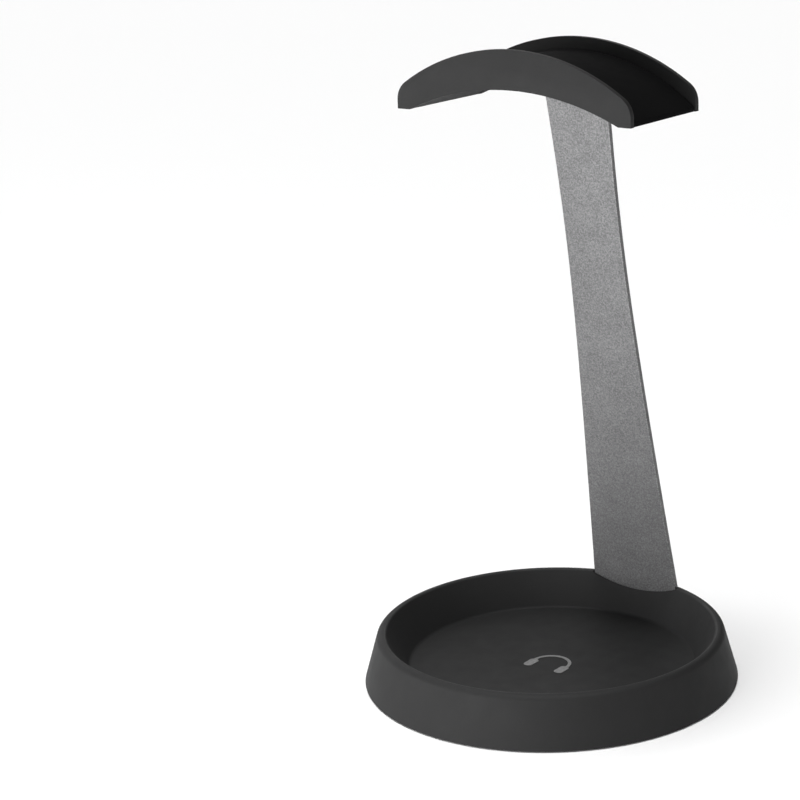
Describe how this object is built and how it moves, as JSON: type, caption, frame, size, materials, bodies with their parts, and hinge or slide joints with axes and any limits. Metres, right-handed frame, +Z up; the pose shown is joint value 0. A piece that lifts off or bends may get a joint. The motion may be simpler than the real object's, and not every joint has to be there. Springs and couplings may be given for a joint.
{
  "type": "headphone stand",
  "caption": "Free-standing headphone stand: round catch-all tray with a flared wall, leaning flat metal post with a narrow waist, arched padded saddle with raised cheeks.",
  "frame": {"origin": "centre of the underside of the foot pad, on the surface that the stand rests on", "axes": "+Z up; -Y is the front, the side that the post leans towards; the saddle arches along X"},
  "size_m": [0.1446, 0.1446, 0.2444],
  "materials": {
    "soft_touch_shell": "moulded plastic with a matte soft-touch coat, charcoal black",
    "pad_rubber": "soft matte liner, deeper black than the shell",
    "foot_foam": "closed-cell anti-slip foam, dead matte",
    "post_aluminium": "bead-blasted and anodised, satin grey with a fine sparkle",
    "plate_steel": "zinc-plated sheet steel",
    "screw_steel": "black oxide screws",
    "insert_brass": "turned brass",
    "mark_print": "pale grey pad-printed mark on the tray's floor"
  },
  "bodies": {
    "root": {"tray_base": "soft_touch_shell", "base_plate": "plate_steel", "foot_pad": "foot_foam", "post": "post_aluminium", "saddle_body": "soft_touch_shell", "saddle_pad": "pad_rubber", "base_screw_1": "screw_steel", "base_screw_2": "screw_steel", "base_screw_3": "screw_steel", "base_screw_4": "screw_steel", "base_screw_5": "screw_steel", "base_screw_6": "screw_steel", "post_screw_1": "screw_steel", "post_screw_2": "screw_steel", "saddle_screw_1": "screw_steel", "saddle_screw_2": "screw_steel", "saddle_screw_3": "screw_steel", "saddle_screw_4": "screw_steel", "saddle_insert_1": "insert_brass", "saddle_insert_2": "insert_brass", "saddle_insert_3": "insert_brass", "saddle_insert_4": "insert_brass"}
  },
  "joints": []
}
